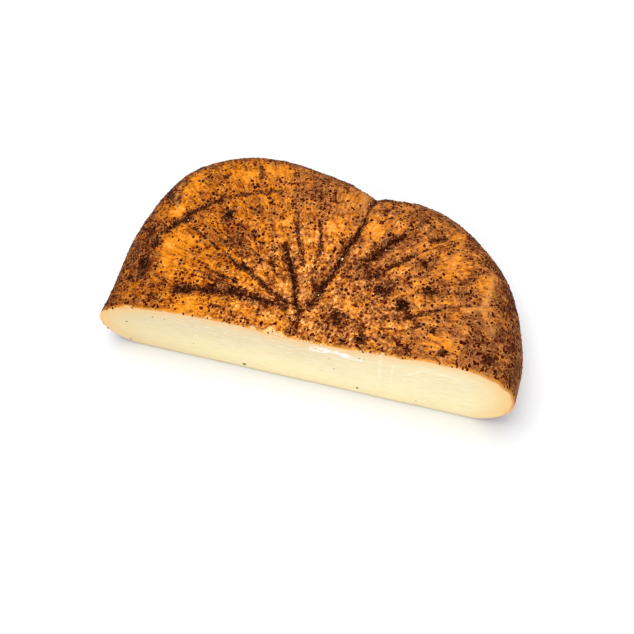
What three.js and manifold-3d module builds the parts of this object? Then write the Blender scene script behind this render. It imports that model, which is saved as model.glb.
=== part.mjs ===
// Half a wheel of hard cow's milk cheese with a dark rubbed rind, cut through the middle by a wire.
// The curd was gathered in a cloth and knotted on top, so the rind keeps the knot's hollow, the pleats
// that run out from it, and one deep fold that reaches the rim and notches it between two lobes.
// Millimetres, +Z up. The origin is under the middle of the piece, on the surface that it rests on.
// The cut face looks along -Y, with +X to its right.

import * as THREE from "three";
import { mergeVertices } from "three/addons/utils/BufferGeometryUtils.js";
import Module from "manifold-3d";

// Driving dimensions: the plain wheel that the cloth was laid round
const WHEEL_RADIUS = 136;
const WHEEL_HEIGHT = 71;
const RIM_HEIGHT_SHARE = 0.43; // height of the widest ring, as a share of the whole
const SHOULDER_POWER = 6; // how square the upper edge is
const BASE_EDGE = 30; // how far the lower edge curls in before it meets the table

// The wheel's axis is at x 0, y 0, on the cut. The cloth was knotted a little behind it.
const KNOT = new THREE.Vector2(-1, 18);
const HOLLOW = { centre: new THREE.Vector2(12, 18), radius: 52, depth: 8 };
const TILT = 0.053; // the piece is thicker to the right of the cut, in millimetres for each millimetre

// Where the rim stands out or in, seen from the knot: angle and spread in degrees, reach in millimetres
const RIM_SWELLS = [
  { name: "left lobe", angle: 133, spread: 25, reach: 24 },
  { name: "left side", angle: 156, spread: 20, reach: 4.6 },
  { name: "left end", angle: 190, spread: 12, reach: 1.8 },
  { name: "right lobe", angle: 32, spread: 26, reach: 6.2 },
  { name: "right end", angle: -8, spread: 14, reach: -2.6 },
  { name: "flat back", angle: 82, spread: 25, reach: -5.5 },
  { name: "notch", angle: 78, spread: 9, reach: -6 },
];

// Where the top's outer part stands up or has sunk, in the same terms
const TOP_SWELLS = [
  { name: "left lobe", angle: 128, spread: 34, reach: 4 },
  { name: "left end", angle: 180, spread: 35, reach: -4 },
  { name: "right end", angle: 2, spread: 25, reach: 2.5 },
];
const TOP_SWELL_START = 0.4; // share of the way to the rim where these begin
const TOP_SWELL_FULL = 0.9; // and where they are full

// Pleats in the top: they start and end at a distance from the knot, lie at an angle there and swing
// to another at the rim, and are deepest at their outer end
const PLEATS = [
  { name: "deep fold", start: 4, end: 150, angle: 75, swing: 3, depth: 6.5, halfWidth: 4.5 },
  { name: "right first", start: 42, end: 98, angle: 60, swing: -6, depth: 2.2, halfWidth: 4 },
  { name: "right second", start: 46, end: 112, angle: 43, swing: 1, depth: 1.8, halfWidth: 3.5 },
  { name: "right third", start: 52, end: 114, angle: 27, swing: -2, depth: 1.2, halfWidth: 3.5 },
  { name: "right fourth", start: 50, end: 112, angle: 8, swing: 7, depth: 1.6, halfWidth: 3 },
  { name: "back first", start: 22, end: 78, angle: 93, swing: 3, depth: 1.6, halfWidth: 3 },
  { name: "back second", start: 26, end: 90, angle: 107.5, swing: 2, depth: 1.6, halfWidth: 3.5 },
  { name: "left first", start: 8, end: 60, angle: 124, swing: -3, depth: 2.2, halfWidth: 3.5 },
  { name: "left second", start: 22, end: 54, angle: 139, swing: -2, depth: 1.3, halfWidth: 3 },
  { name: "left third", start: 14, end: 62, angle: 158, swing: -5, depth: 1.6, halfWidth: 3 },
  { name: "left fourth", start: 8, end: 92, angle: 179, swing: 0, depth: 2.4, halfWidth: 4.5 },
];
const PLEAT_EASE = 12; // length over which a pleat fades in and out
const INNER_DEPTH = 0.4; // depth at the inner end, as a share of the depth at the outer end
const LIP = 0.3; // how far the lips beside a pleat stand up, as a share of its depth
const LIP_SPREAD = 2.4; // how much wider the lips are than the pleat

// The valley that parts the left lobe's rolled rim from the top
const VALLEY = { from: 106, to: 160, radiusFrom: 89, radiusTo: 113, depth: 3, halfWidth: 5, ease: 9 };

// Low waves round the rim, left by the folds of the cloth
const RIM_WAVES = [
  { count: 7, size: 0.8, phase: 1 },
  { count: 13, size: 0.5, phase: 2 },
];

// How finely the surface is divided: most of the spokes are crowded into the half that is kept
const SPOKES = 132;
const SPOKE_CROWDING = 0.5;
const TOP_RINGS = 28;
const EDGE_RINGS = 9;
const SHOULDER_START = 0.9; // share of the radius where the rings begin to crowd round the shoulder

const RIND_COLOUR = 0xb9722c;
const degrees = THREE.MathUtils.degToRad;
const { clamp, smoothstep } = THREE.MathUtils;

const wasm = await Module();
wasm.setup();

// A bell: 1 in the middle and near 0 two spreads away
function bell(distance, spread) {
  return Math.exp(-((distance / spread) ** 2));
}

// The plain wheel's half section, from the middle of the base round the rim to the middle of the top
function wheelSection() {
  const rimHeight = RIM_HEIGHT_SHARE * WHEEL_HEIGHT;
  const points = [new THREE.Vector2(0, 0)];
  for (let i = 0; i <= EDGE_RINGS; i += 1) {
    const turn = (i / EDGE_RINGS) * (Math.PI / 2);
    const radius = WHEEL_RADIUS - BASE_EDGE * (1 - Math.sin(turn));
    points.push(new THREE.Vector2(radius, rimHeight * (1 - Math.cos(turn))));
  }
  for (let i = 1; i <= EDGE_RINGS + TOP_RINGS; i += 1) {
    const share = ringShare(i);
    const rise = Math.sqrt(1 - share ** SHOULDER_POWER);
    points.push(new THREE.Vector2(WHEEL_RADIUS * share, rimHeight + (WHEEL_HEIGHT - rimHeight) * rise));
  }
  return points;
}

// A ring's distance from the axis as a share of the radius, counting from the rim to the middle
function ringShare(ring) {
  if (ring <= EDGE_RINGS) {
    return 1 - (1 - SHOULDER_START) * (ring / EDGE_RINGS) ** 2;
  }
  return SHOULDER_START * (1 - (ring - EDGE_RINGS) / TOP_RINGS);
}

// What a list of swells adds in a direction from the knot
function swellReach(swells, angle) {
  let reach = 0;
  for (const swell of swells) {
    reach += swell.reach * bell(turnBetween(angle, degrees(swell.angle)), degrees(swell.spread));
  }
  return reach;
}

// Distance from the knot to the rim in a direction: a circle round the wheel's axis, with its swells
function rimRadius(angle) {
  const along = KNOT.x * Math.cos(angle) + KNOT.y * Math.sin(angle);
  let radius = Math.sqrt(WHEEL_RADIUS ** 2 - KNOT.lengthSq() + along ** 2) - along;
  radius += swellReach(RIM_SWELLS, angle);
  for (const wave of RIM_WAVES) {
    radius += wave.size * Math.sin(wave.count * angle + wave.phase);
  }
  return radius;
}

// The smaller turn from one direction to another, between minus and plus half a turn
function turnBetween(angle, other) {
  return THREE.MathUtils.euclideanModulo(angle - other + Math.PI, 2 * Math.PI) - Math.PI;
}

// How far one pleat draws the top down at a distance and direction from the knot
function pleatDrop(pleat, distance, angle) {
  const along = clamp((distance - pleat.start) / (pleat.end - pleat.start), 0, 1);
  const turn = turnBetween(angle, degrees(pleat.angle + pleat.swing * along));
  const across = distance * Math.sin(turn);
  const fade =
    Math.max(0, Math.cos(turn)) *
    smoothstep(distance, pleat.start, pleat.start + PLEAT_EASE) *
    (1 - smoothstep(distance, pleat.end - PLEAT_EASE, pleat.end));
  const deepening = INNER_DEPTH + (1 - INNER_DEPTH) * along;
  const crease = bell(across, pleat.halfWidth) - LIP * bell(across, LIP_SPREAD * pleat.halfWidth);
  return pleat.depth * deepening * fade * crease;
}

// How far the valley inside the left lobe's rolled rim draws the top down
function valleyDrop(distance, angle) {
  const turn = THREE.MathUtils.radToDeg(turnBetween(angle, 0));
  const share = (turn - VALLEY.from) / (VALLEY.to - VALLEY.from);
  const lie = VALLEY.radiusFrom + (VALLEY.radiusTo - VALLEY.radiusFrom) * share;
  const fade =
    smoothstep(turn, VALLEY.from - VALLEY.ease, VALLEY.from + VALLEY.ease) *
    (1 - smoothstep(turn, VALLEY.to - VALLEY.ease, VALLEY.to + VALLEY.ease));
  return VALLEY.depth * fade * bell(distance - lie, VALLEY.halfWidth);
}

// The shape that the cloth gave the wheel: each point of the plain wheel is moved to its real place
function pressInCloth(geometry) {
  const position = geometry.getAttribute("position");
  const point = new THREE.Vector3();
  for (let i = 0; i < position.count; i += 1) {
    point.fromBufferAttribute(position, i);
    const spoke = Math.atan2(point.y, point.x);
    const angle = spoke + SPOKE_CROWDING * Math.cos(spoke);
    const share = Math.hypot(point.x, point.y) / WHEEL_RADIUS;
    const distance = share * rimRadius(angle);
    const x = KNOT.x + distance * Math.cos(angle);
    const y = KNOT.y + distance * Math.sin(angle);

    const fromHollow = Math.hypot(x - HOLLOW.centre.x, y - HOLLOW.centre.y);
    let crown = WHEEL_HEIGHT + TILT * x - HOLLOW.depth * bell(fromHollow, HOLLOW.radius);
    crown += swellReach(TOP_SWELLS, angle) * smoothstep(share, TOP_SWELL_START, TOP_SWELL_FULL);
    crown -= valleyDrop(distance, angle);
    for (const pleat of PLEATS) {
      crown -= pleatDrop(pleat, distance, angle);
    }
    position.setXYZ(i, x, y, (point.z / WHEEL_HEIGHT) * crown);
  }
}

// A closed geometry as a solid that can be cut
function solidFrom(geometry) {
  const bare = geometry.clone();
  bare.deleteAttribute("normal");
  bare.deleteAttribute("uv");
  const merged = mergeVertices(bare);
  return new wasm.Manifold(
    new wasm.Mesh({
      numProp: 3,
      vertProperties: merged.getAttribute("position").array,
      triVerts: new Uint32Array(merged.index.array),
    }),
  );
}

// A solid back as a geometry
function geometryFrom(solid) {
  const mesh = solid.getMesh();
  const geometry = new THREE.BufferGeometry();
  geometry.setAttribute("position", new THREE.BufferAttribute(mesh.vertProperties, mesh.numProp));
  geometry.setIndex(new THREE.BufferAttribute(mesh.triVerts, 1));
  geometry.computeVertexNormals();
  return geometry;
}

// The whole wheel as it came out of the cloth
function pressedWheel() {
  const wheel = new THREE.LatheGeometry(wheelSection(), SPOKES);
  wheel.rotateX(Math.PI / 2);
  pressInCloth(wheel);
  return solidFrom(wheel);
}

// The half in front of the axis, which the wire takes off
function frontHalf() {
  const size = 4 * WHEEL_RADIUS;
  const block = new THREE.BoxGeometry(size, size, size);
  block.translate(0, -size / 2, 0);
  return solidFrom(block);
}

const halfWheel = geometryFrom(pressedWheel().subtract(frontHalf()));
halfWheel.computeBoundingBox();
const middle = halfWheel.boundingBox.getCenter(new THREE.Vector3());
halfWheel.translate(-middle.x, -middle.y, 0);

const rind = new THREE.MeshStandardMaterial({ color: RIND_COLOUR, roughness: 0.55, metalness: 0 });
const halfWheelMesh = new THREE.Mesh(halfWheel, rind);
halfWheelMesh.name = "half_wheel";

const cheese = new THREE.Group();
cheese.add(halfWheelMesh);

export default cheese;
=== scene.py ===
"""Half a wheel of dry, hard cheese: the pressed and cut wheel, the coarse rub on its rind, and its crumbs."""

import math

import bpy
import numpy as np
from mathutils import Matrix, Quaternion, Vector, kdtree, noise


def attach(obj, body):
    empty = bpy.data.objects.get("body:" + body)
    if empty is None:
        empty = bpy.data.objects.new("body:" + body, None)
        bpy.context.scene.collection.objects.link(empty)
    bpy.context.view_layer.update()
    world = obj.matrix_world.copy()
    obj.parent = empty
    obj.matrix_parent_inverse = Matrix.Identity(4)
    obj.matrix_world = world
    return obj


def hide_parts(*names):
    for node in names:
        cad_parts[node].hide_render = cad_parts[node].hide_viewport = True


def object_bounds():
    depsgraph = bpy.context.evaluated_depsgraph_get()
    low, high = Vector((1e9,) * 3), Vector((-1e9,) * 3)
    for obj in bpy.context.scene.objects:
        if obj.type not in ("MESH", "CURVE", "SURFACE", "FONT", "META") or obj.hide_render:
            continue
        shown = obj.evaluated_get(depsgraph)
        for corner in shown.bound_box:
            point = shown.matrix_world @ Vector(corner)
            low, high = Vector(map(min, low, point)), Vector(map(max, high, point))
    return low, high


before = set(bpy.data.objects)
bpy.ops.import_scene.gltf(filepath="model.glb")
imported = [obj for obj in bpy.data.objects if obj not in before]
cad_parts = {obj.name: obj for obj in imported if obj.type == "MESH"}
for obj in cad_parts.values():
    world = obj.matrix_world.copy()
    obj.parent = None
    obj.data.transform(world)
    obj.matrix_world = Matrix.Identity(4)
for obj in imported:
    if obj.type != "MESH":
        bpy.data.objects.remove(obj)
cad_low, cad_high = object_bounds()


# The half wheel
# Hard cow's milk cheese in one piece. The curd was gathered in a cloth, knotted on top and pressed flat. The
# dry wheel was rubbed with oil, cocoa and pepper, which gathered in the pleats, and then cut by a wire.
MM = 0.001
WHEEL_RADIUS = 136 * MM
WHEEL_HEIGHT = 71 * MM
RIM_HEIGHT_SHARE = 0.43
SHOULDER_POWER = 6  # the higher, the squarer the shoulder
BASE_EDGE = 30 * MM
AXIS_X = 1.19 * MM  # the wheel's axis stands on the cut, this far to the right of the box's middle

KNOT = np.array([-1, 18]) * MM  # from the axis, as every place on the top is
HOLLOW_CENTRE = np.array([12, 18]) * MM
HOLLOW_RADIUS = 52 * MM
HOLLOW_DEPTH = 8 * MM
TILT = 0.053  # how steeply the top rises to the right

# Angle and spread in degrees as seen from the knot, and reach
RIM_SWELLS = [
    (133, 25, 24 * MM),  # left lobe
    (156, 20, 4.6 * MM),  # left side
    (190, 12, 1.8 * MM),  # left end
    (32, 26, 6.2 * MM),  # right lobe
    (-8, 14, -2.6 * MM),  # right end
    (82, 25, -5.5 * MM),  # flat back
    (78, 9, -6 * MM),  # notch
]
TOP_SWELLS = [
    (128, 34, 4 * MM),  # left lobe
    (180, 35, -4 * MM),  # left end
    (2, 25, 2.5 * MM),  # right end
]
TOP_SWELL_SHARES = (0.4, 0.9)  # of the way out to the rim, where they begin and are full
RIM_WAVES = [(7, 0.8 * MM, 1), (13, 0.5 * MM, 2)]  # count, size, phase

# Start and end from the knot in millimetres, angle there and swing to the outer end in degrees, and depth and
# half width in millimetres
PLEATS = [
    (4, 150, 75, 3, 6.5, 4.5),  # deep fold
    (42, 98, 60, -6, 2.2, 4),
    (46, 112, 43, 1, 1.8, 3.5),
    (52, 114, 27, -2, 1.2, 3.5),
    (50, 112, 8, 7, 1.6, 3),
    (22, 78, 93, 3, 1.6, 3),
    (26, 90, 107.5, 2, 1.6, 3.5),
    (8, 60, 124, -3, 2.2, 3.5),
    (22, 54, 139, -2, 1.3, 3),
    (14, 62, 158, -5, 1.6, 3),
    (8, 92, 179, 0, 2.4, 4.5),
]
PLEAT_EASE = 12 * MM
INNER_DEPTH = 0.4  # share of the depth next to the knot
LIP = 0.3  # height of the lips beside a pleat, as a share of its depth
LIP_SPREAD = 2.4

# The valley inside the left lobe's rolled rim, from one angle to another in degrees as seen from the knot
VALLEY_ANGLES = (106, 160)
VALLEY_RADII = (89 * MM, 113 * MM)
VALLEY_DEPTH = 3 * MM
VALLEY_HALF_WIDTH = 5 * MM
VALLEY_EASE = 9

# Sharp creases where the rub gathered: half width and depth in millimetres, darkness, and the way it runs
CREASES = [
    # deep fold
    (3.2, 1.6, 1.3, [(0, 26), (3, 35), (5, 43)]),
    (2.3, 1.6, 1.2, [(5, 43), (10, 53), (12, 60), (13, 68), (17, 78)]),
    (1.8, 1.8, 1.1, [(17, 78), (19, 87), (19.5, 94), (20, 100), (21.5, 109), (22, 120)]),
    (1.0, 0.5, 0.7, [(11, 65), (8, 76)]),
    # right
    (1.8, 0.8, 0.9, [(21, 60), (26, 61), (31, 63.5)]),
    (3.6, 1.2, 1.15, [(31, 63.5), (36, 71), (41, 77), (46, 82.5)]),
    (1.6, 0.6, 0.75, [(46, 82.5), (48.5, 90)]),
    (2.0, 0.8, 1.0, [(39, 56), (44, 60), (50, 64), (55.5, 70)]),
    (2.4, 0.8, 0.95, [(63.5, 83), (73.5, 88)]),
    (1.4, 0.5, 0.7, [(55, 52), (62, 57), (68, 62)]),
    (1.2, 0.3, 0.65, [(72, 50), (84, 55), (96, 61)]),
    (1.7, 0.5, 0.8, [(87, 58.5), (94, 61.5)]),
    (1.2, 0.9, 1.05, [(59, 26.5), (63, 28), (70.5, 32), (78, 35), (88, 39.5), (96, 42)]),
    (0.7, 0.3, 0.8, [(46, 17), (58, 17.5), (70, 21.5)]),
    (0.6, 0.2, 0.65, [(50, 13), (62, 13), (75, 15)]),
    (0.6, 0.2, 0.75, [(44, 14.5), (54, 10.5), (64, 8.5)]),
    (0.6, 0.2, 0.7, [(38, 11), (50, 7.5)]),
    (0.6, 0.2, 0.65, [(70, 52), (82, 57), (92, 63)]),
    (0.6, 0.2, 0.65, [(60, 73), (72, 80), (80, 86)]),
    (0.7, 0.2, 0.65, [(34, 92), (40, 102)]),
    # back
    (1.5, 0.7, 0.95, [(-3.5, 49), (-3, 57), (-3, 64), (-5, 72.5), (-8, 82.5)]),
    (1.2, 0.6, 0.95, [(-11, 49), (-12, 55), (-16, 64), (-21, 76), (-25, 90)]),
    (0.9, 0.4, 0.8, [(-18, 66), (-23.5, 77), (-28.5, 92)]),
    # left
    (2.1, 1.3, 1.15, [(-26, 60), (-23.5, 57), (-20.5, 52), (-17, 45), (-14, 38), (-10.5, 28), (-6, 20)]),
    (2.0, 0.6, 0.95, [(-6, 20), (-5, 12.5), (-5.5, 7)]),
    (1.5, 0.5, 0.65, [(-64, 63), (-52, 56), (-40, 50), (-32, 46.5), (-27.5, 41)]),
    (1.1, 0.3, 0.95, [(-76, 37), (-62, 31.5), (-48, 28)]),
    (1.1, 0.3, 0.95, [(-70, 27), (-55, 25.5), (-40, 24)]),
    (1.0, 0.2, 0.95, [(-87, 61), (-76, 55), (-67, 49)]),
    (1.0, 0.2, 0.95, [(-62, 48), (-50, 40), (-40, 35)]),
    (0.9, 0.2, 0.9, [(-80, 31), (-66, 29), (-52, 27)]),
    (1.6, 0.3, 0.75, [(-33, 51), (-28, 44), (-24, 38)]),
    (1.7, 0.8, 1.0, [(-49, 41.5), (-42, 38), (-35, 34), (-29, 30), (-25, 27.5), (-14, 23)]),
    (3.7, 1.0, 1.1, [(-84, 18), (-77, 18.5), (-70, 19.5), (-63, 19.5), (-52, 20.5), (-44, 21.5)]),
    (2.5, 0.9, 1.05, [(-44, 21.5), (-36, 21), (-26, 21), (-14, 20)]),
    # left shoulder
    (2.9, 1.6, 1.1, [(-105, 60), (-98, 67), (-90.5, 75), (-83.5, 80), (-76, 85)]),
    (2.4, 0.6, 0.8, [(-70, 89), (-61.5, 91.5), (-52, 95), (-43, 99)]),
    (2.2, 0.5, 0.9, [(-57, 117), (-53, 107)]),
]
CREASE_WANDER = (0.9 * MM, 7 * MM)  # how far the creases stray from these runs, and over what length
CREASE_BREAKS = (0.55, 0.6, 4 * MM)  # usual share of the depth, how much that changes, and over what length
SHALLOWEST = 0.1

# Pinched ridges, which the rub missed and which carry a painted highlight: half width and height in
# millimetres, and the way each runs
RIDGES = [
    (1.5, 0.9, [(93, 37), (102, 41.5), (105, 47), (106, 62), (105, 72)]),
    (1.6, 0.8, [(103, 41.5), (108, 35), (112, 29.5)]),
    (1.2, 0.7, [(-102, 73), (-107, 84), (-108, 98)]),
    (2.0, 0.9, [(17, 99), (16.5, 107), (13, 116)]),  # lip of the deep fold
]

SECTION_STEPS = 2000
RINGS_TO_RIM = 0.8  # share of the rings that lie above the widest one
RINGS_TO_FOOT = 0.95  # and above the flat of the base


def bell(distance, spread):
    return np.exp(-((distance / spread) ** 2))


def smooth_step(value, low, high):
    share = np.clip((value - low) / (high - low), 0, 1)
    return share * share * (3 - 2 * share)


def turn_between(angle, other):
    return (angle - other + math.pi) % (2 * math.pi) - math.pi


def waver(points, spacing):
    """Smooth random waves at the points, between about -1 and 1, with crests about a spacing apart."""
    return np.array([noise.noise(point) for point in (points / spacing).tolist()])


def at_level(spots, level):
    """Spots on the top as points at a level, since each level has random waves of its own."""
    return np.column_stack([spots, np.full(len(spots), level)])


def rows_of_three(items, field):
    """A field with three numbers of every corner or face, one row for each."""
    values = np.empty(len(items) * 3)
    items.foreach_get(field, values)
    return values.reshape(-1, 3)


def vertex_places(piece):
    return rows_of_three(piece.data.vertices, "co")


def move_vertices(piece, places):
    piece.data.vertices.foreach_set("co", places.ravel())
    piece.data.update()


def wheel_section(fall):
    """The plain wheel's half section from the middle of the top, where fall is 0, to that of the base, at 1.
    Gives the distance from the axis as a share of the radius, and the height as a share of the whole."""
    turn = np.linspace(0, math.pi / 2, SECTION_STEPS)
    top_share = np.sin(turn) ** (2 / SHOULDER_POWER)
    top_height = RIM_HEIGHT_SHARE + (1 - RIM_HEIGHT_SHARE) * np.cos(turn)
    edge_share = 1 - BASE_EDGE / WHEEL_RADIUS * (1 - np.cos(turn))
    edge_height = RIM_HEIGHT_SHARE * (1 - np.sin(turn))
    share = np.concatenate([top_share, edge_share, [0]])
    height = np.concatenate([top_height, edge_height, [0]])
    steps = np.hypot(np.diff(share) * WHEEL_RADIUS, np.diff(height) * WHEEL_HEIGHT)
    run = np.concatenate([[0], np.cumsum(steps)])
    rim, foot = run[SECTION_STEPS - 1], run[2 * SECTION_STEPS - 1]
    rings = np.interp(fall, [0, RINGS_TO_RIM, RINGS_TO_FOOT, 1], [0, rim, foot, run[-1]])
    return np.interp(rings, run, share), np.interp(rings, run, height)


def swell(swells, angle):
    total = np.zeros_like(angle)
    for at, spread, reach in swells:
        total += reach * bell(turn_between(angle, math.radians(at)), math.radians(spread))
    return total


def rim_radius(angle):
    along = KNOT[0] * np.cos(angle) + KNOT[1] * np.sin(angle)
    radius = np.sqrt(WHEEL_RADIUS**2 - KNOT @ KNOT + along**2) - along + swell(RIM_SWELLS, angle)
    return radius + sum(size * np.sin(count * angle + phase) for count, size, phase in RIM_WAVES)


def pleat_drop(distance, angle):
    drop = np.zeros_like(distance)
    for start, end, at, swing, depth, half_width in PLEATS:
        start, end, depth, half_width = start * MM, end * MM, depth * MM, half_width * MM
        along = np.clip((distance - start) / (end - start), 0, 1)
        turn = turn_between(angle, np.radians(at + swing * along))
        across = distance * np.sin(turn)
        fade = np.maximum(0, np.cos(turn)) * smooth_step(distance, start, start + PLEAT_EASE)
        fade *= 1 - smooth_step(distance, end - PLEAT_EASE, end)
        fold = bell(across, half_width) - LIP * bell(across, LIP_SPREAD * half_width)
        drop += depth * (INNER_DEPTH + (1 - INNER_DEPTH) * along) * fade * fold
    return drop


def valley_drop(distance, angle):
    turn = np.degrees(turn_between(angle, 0))
    first, last = VALLEY_ANGLES
    lie = np.interp(turn, VALLEY_ANGLES, VALLEY_RADII)
    fade = smooth_step(turn, first - VALLEY_EASE, first + VALLEY_EASE)
    fade *= 1 - smooth_step(turn, last - VALLEY_EASE, last + VALLEY_EASE)
    return VALLEY_DEPTH * fade * bell(distance - lie, VALLEY_HALF_WIDTH)


def distance_to_run(spots, run):
    """How far each spot is from a crease or mark that runs through the given points."""
    nearest = np.full(len(spots), np.inf)
    for start, end in zip(run, run[1:]):
        start, way = np.array(start) * MM, np.subtract(end, start) * MM
        share = np.clip((spots - start) @ way / (way @ way), 0, 1)
        nearest = np.minimum(nearest, np.linalg.norm(spots - start - share[:, None] * way, axis=1))
    return nearest


def wandering(spots, reach, spacing):
    """The spots shifted a little at random, so that what is drawn by rule runs unevenly."""
    points = at_level(spots, 0)
    return spots + reach * np.column_stack([waver(points, spacing), waver(points + 1, spacing)])


def crease_drop(spots):
    drop = np.zeros(len(spots))
    for half_width, depth, _, run in CREASES:
        drop += depth * MM * bell(distance_to_run(spots, run), half_width * MM)
    for half_width, height, run in RIDGES:
        drop -= height * MM * bell(distance_to_run(spots, run), half_width * MM)
    usual, change, length = CREASE_BREAKS
    return drop * np.clip(usual + change * waver(at_level(spots, 1), length), SHALLOWEST, 1)


# A flat sheet is rolled round the knot into the wheel: one way it runs round, the other from top to base.
SPOKES = 560
RINGS = 180
SPOKE_CROWDING = 0.5  # most of the spokes are crowded into the half that is kept
FIBRE_COUNT = 20  # fine folds of the cloth for each radian round the knot
FIBRE_LENGTH = 30 * MM
FIBRE_HEIGHT = 0.35 * MM
FIBRE_START = (8 * MM, 40 * MM)  # distances from the knot where they begin and are full
SEAM_GAP = 0.001 * MM

bpy.ops.object.select_all(action="DESELECT")
bpy.ops.mesh.primitive_grid_add(x_subdivisions=SPOKES, y_subdivisions=RINGS, size=1)
cheese = bpy.context.object
cheese.name = "cheese"

sheet = vertex_places(cheese)
spoke = 2 * math.pi * sheet[:, 0]
angle = spoke + SPOKE_CROWDING * np.cos(spoke)
share, height = wheel_section(0.5 - sheet[:, 1])
distance = share * rim_radius(angle)
spots = KNOT + distance[:, None] * np.column_stack([np.cos(angle), np.sin(angle)])

crown = WHEEL_HEIGHT + TILT * spots[:, 0]
crown -= HOLLOW_DEPTH * bell(np.linalg.norm(spots - HOLLOW_CENTRE, axis=1), HOLLOW_RADIUS)
crown += swell(TOP_SWELLS, angle) * smooth_step(share, *TOP_SWELL_SHARES)
drop = valley_drop(distance, angle) + pleat_drop(distance, angle)
crown -= drop + crease_drop(wandering(spots, *CREASE_WANDER))
fibres = np.column_stack([np.cos(angle) * FIBRE_COUNT, np.sin(angle) * FIBRE_COUNT, distance / FIBRE_LENGTH])
crown += FIBRE_HEIGHT * waver(fibres, 1) * smooth_step(distance, *FIBRE_START)

wheel = np.column_stack([spots, height * crown])
wheel += [AXIS_X, cad_low[1], 0]
move_vertices(cheese, wheel)
bpy.ops.object.mode_set(mode="EDIT")
bpy.ops.mesh.select_all(action="SELECT")
bpy.ops.mesh.remove_doubles(threshold=SEAM_GAP)
bpy.ops.mesh.normals_make_consistent(inside=False)
bpy.ops.object.mode_set(mode="OBJECT")

# The curd settled unevenly, so the rind is lumpy, but the base lay flat on the board.
LUMPS = [
    ("broad lumps", 34 * MM, 1.6 * MM),
    ("small lumps", 11 * MM, 0.8 * MM),
    ("curd grain", 4 * MM, 0.35 * MM),
]
LIFT_STEPS = 20
LIFT_HEIGHTS = (2 * MM, 14 * MM)  # above the board, where the lumps begin and are full
ABOVE_BOARD = "above the board"
settled = cheese.vertex_groups.new(name=ABOVE_BOARD)
lift = np.round(LIFT_STEPS * smooth_step(vertex_places(cheese)[:, 2], *LIFT_HEIGHTS))
for step in range(1, LIFT_STEPS + 1):
    settled.add(np.flatnonzero(lift == step).tolist(), step / LIFT_STEPS, "REPLACE")
for name, spacing, size in LUMPS:
    texture = bpy.data.textures.new(name, "CLOUDS")
    texture.noise_scale = spacing
    lumps = cheese.modifiers.new(name, "DISPLACE")
    lumps.texture = texture
    lumps.texture_coords = "LOCAL"
    lumps.strength = size
    lumps.vertex_group = ABOVE_BOARD
    bpy.ops.object.modifier_apply(modifier=name)
cheese.vertex_groups.clear()

# The wire's path is a sheet just wider than the wheel, thickened to the front to take off the front half.
CUT_STEPS = (320, 92)
CUT_SIZE = (290 * MM, 84 * MM)
CUT_BELOW = 3 * MM  # how far the path reaches below the base
FRONT_DEPTH = 0.2
WIRE_WAVES = 0.22 * MM
WIRE_DRAG = (40 * MM, 6 * MM)  # length across the cut and height of the waves that the wire dragged
RIPPLE_SHARE = 0.5  # and the smaller ripples on them
RIPPLE_SPACING = 5 * MM
# Marks where the wire jerked: half width and height in millimetres, and the way across and up the cut
WIRE_MARKS = [
    (0.9, 0.6, [(50.3, 69), (49.6, 21)]),
    (0.8, 0.5, [(58.4, 62), (56.8, 20)]),
    (1.0, 0.5, [(63.8, 37.6), (67, 41), (70.5, 42.9)]),
    (1.1, 0.6, [(67.7, 47.7), (72, 54), (76.3, 58.6)]),
    (1.2, 0.7, [(86, 58), (91, 60.5), (95, 58), (99.6, 56.2)]),
    (0.9, 0.5, [(84, 52), (92, 54), (97, 51)]),
]
bpy.ops.object.select_all(action="DESELECT")
bpy.ops.mesh.primitive_grid_add(
    x_subdivisions=CUT_STEPS[0],
    y_subdivisions=CUT_STEPS[1],
    size=1,
    location=(0, cad_low[1], CUT_SIZE[1] / 2 - CUT_BELOW),
    rotation=(math.pi / 2, 0, 0),
)
wire_path = bpy.context.object
wire_path.scale = (CUT_SIZE[0], CUT_SIZE[1], 1)
bpy.ops.object.transform_apply(location=True, rotation=True, scale=True)
path = vertex_places(wire_path)
dragged = path * [1 / WIRE_DRAG[0], 0, 1 / WIRE_DRAG[1]]
path[:, 1] += WIRE_WAVES * (waver(dragged, 1) + RIPPLE_SHARE * waver(path, RIPPLE_SPACING))
for half_width, height, run in WIRE_MARKS:
    path[:, 1] -= height * MM * bell(distance_to_run(path[:, [0, 2]] - [AXIS_X, 0], run), half_width * MM)
move_vertices(wire_path, path)
bpy.ops.object.mode_set(mode="EDIT")
bpy.ops.mesh.select_all(action="SELECT")
bpy.ops.mesh.extrude_region_move(TRANSFORM_OT_translate={"value": (0, -FRONT_DEPTH, 0)})
bpy.ops.mesh.select_all(action="SELECT")
bpy.ops.mesh.normals_make_consistent(inside=False)
bpy.ops.object.mode_set(mode="OBJECT")

bpy.context.view_layer.objects.active = cheese
cut = cheese.modifiers.new("wire cut", "BOOLEAN")
cut.object = wire_path
cut.operation = "DIFFERENCE"
cut.solver = "MANIFOLD"
bpy.ops.object.modifier_apply(modifier=cut.name)
bpy.data.objects.remove(wire_path)
cheese.data.materials.clear()

# Each corner of the mesh is told where it lies, for the rind and the paste to be coloured by.
PASTE_FACING = -0.8  # faces that look to the front at least so much, and lie near the cut, are paste
PASTE_DEPTH = 1.5 * MM
places = vertex_places(cheese)
normals = rows_of_three(cheese.data.vertices, "normal")
polygons = cheese.data.polygons
is_paste = rows_of_three(polygons, "normal")[:, 1] < PASTE_FACING
is_paste &= rows_of_three(polygons, "center")[:, 1] < cad_low[1] + PASTE_DEPTH


def paint(piece, name, values):
    """Keeps a number for each corner of the mesh, or three, under a name that a material can read."""
    kind, field = ("FLOAT", "value") if values.ndim == 1 else ("FLOAT_VECTOR", "vector")
    attribute = piece.data.attributes.new(name, kind, "POINT")
    attribute.data.foreach_set(field, values.ravel().astype(np.float32))


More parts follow.
